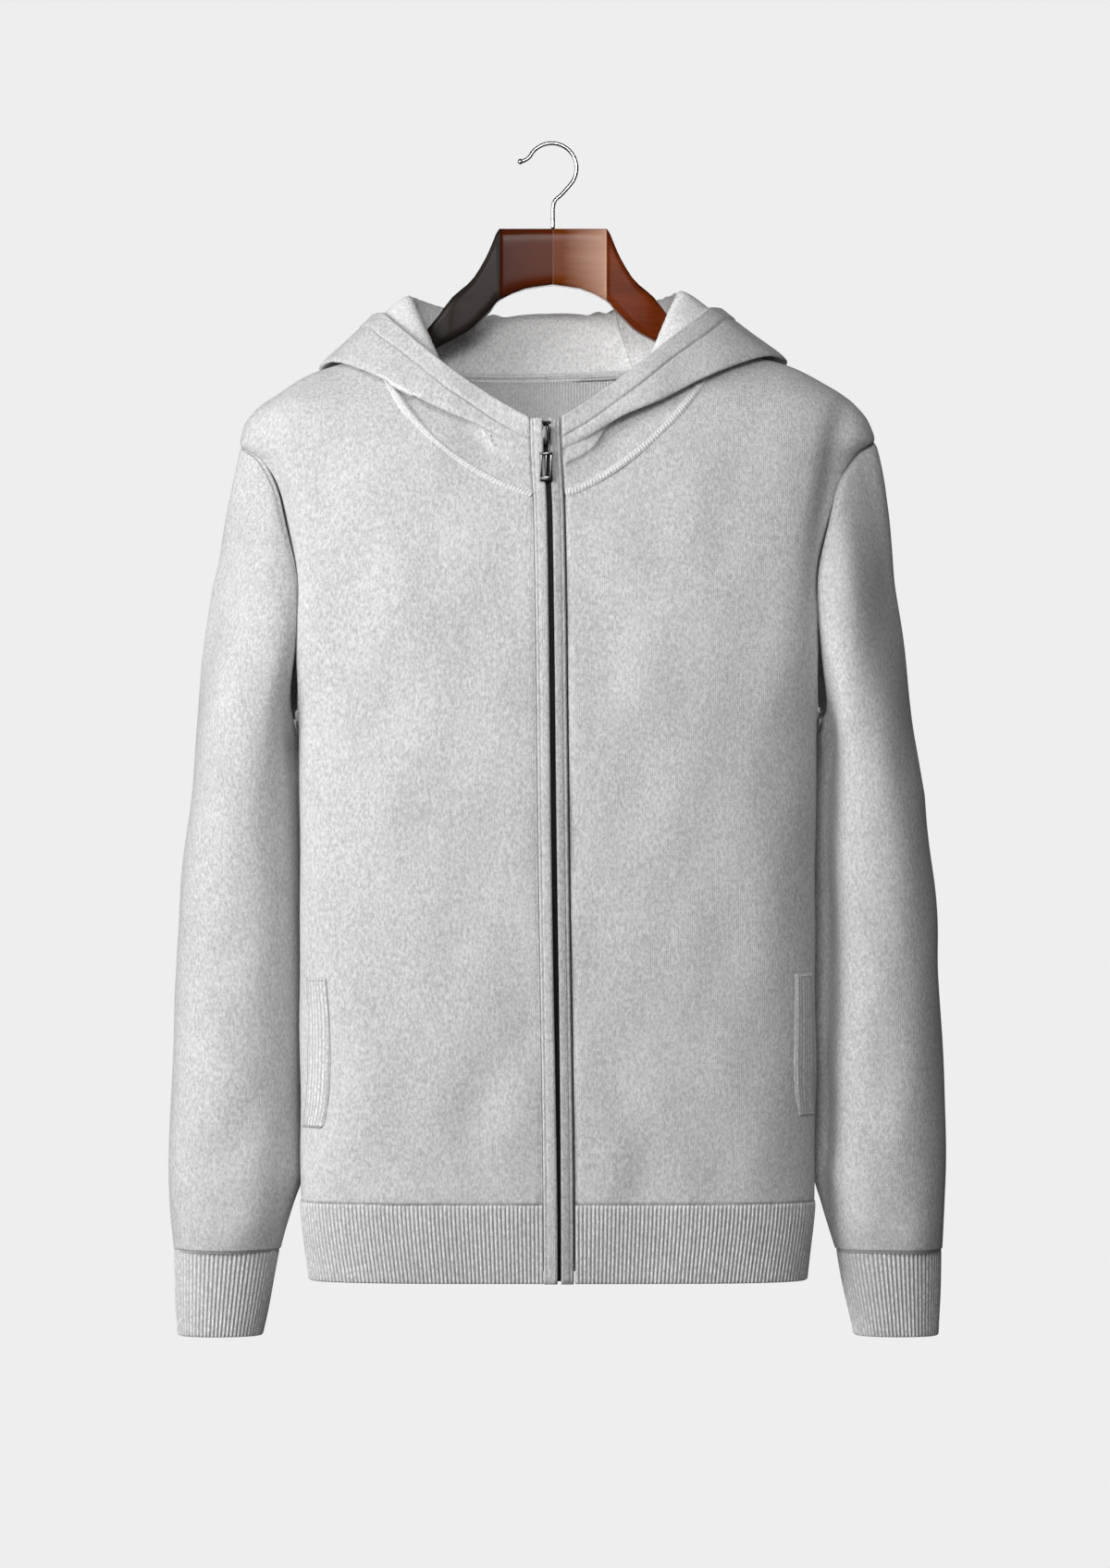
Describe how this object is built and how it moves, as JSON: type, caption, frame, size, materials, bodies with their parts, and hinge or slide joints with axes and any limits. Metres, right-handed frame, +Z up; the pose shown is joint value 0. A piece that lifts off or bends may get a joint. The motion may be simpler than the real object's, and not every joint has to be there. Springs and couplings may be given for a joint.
{
  "type": "knit zip hoodie on a wooden hanger",
  "caption": "Fine-knit zip-up hoodie with a hood, ribbed hem and cuffs and slanted welt pockets, hanging closed on a wooden hanger with a wire hook.",
  "frame": {"origin": "inside top of the hanger's hook, where it rests on a rail", "axes": "+Z up along the hook's stem, -Y out of the garment's front, +X towards the wearer's left"},
  "size_m": [0.572, 0.2007, 0.8771],
  "materials": {
    "knit": "matte",
    "rib": "matte",
    "zip_tape": "matte",
    "wood": "gloss",
    "chrome": "gloss",
    "dark_metal": "gloss"
  },
  "bodies": {
    "garment": {"front_left": "knit", "front_right": "knit", "back": "knit", "sleeve_left": "knit", "sleeve_right": "knit", "hood_left": "knit", "hood_right": "knit", "hood_centre": "knit", "placket_left": "knit", "placket_right": "knit", "hem_left": "rib", "hem_right": "rib", "hem_back": "rib", "cuff_left": "rib", "cuff_right": "rib", "pocket_welt_left": "rib", "pocket_welt_right": "rib", "zip": "zip_tape", "hanger_arm_left": "wood", "hanger_arm_right": "wood", "hanger_hook": "chrome", "zip_slider": "dark_metal"},
    "pull": {"zip_pull": "dark_metal"}
  },
  "joints": [
    {"name": "zip_pull", "type": "hinge", "parent": "garment", "child": "pull", "pos_m": [-0.005, -0.07045, -0.22015], "axis": [-1, 0, 0], "range_deg": [0, 165]}
  ]
}
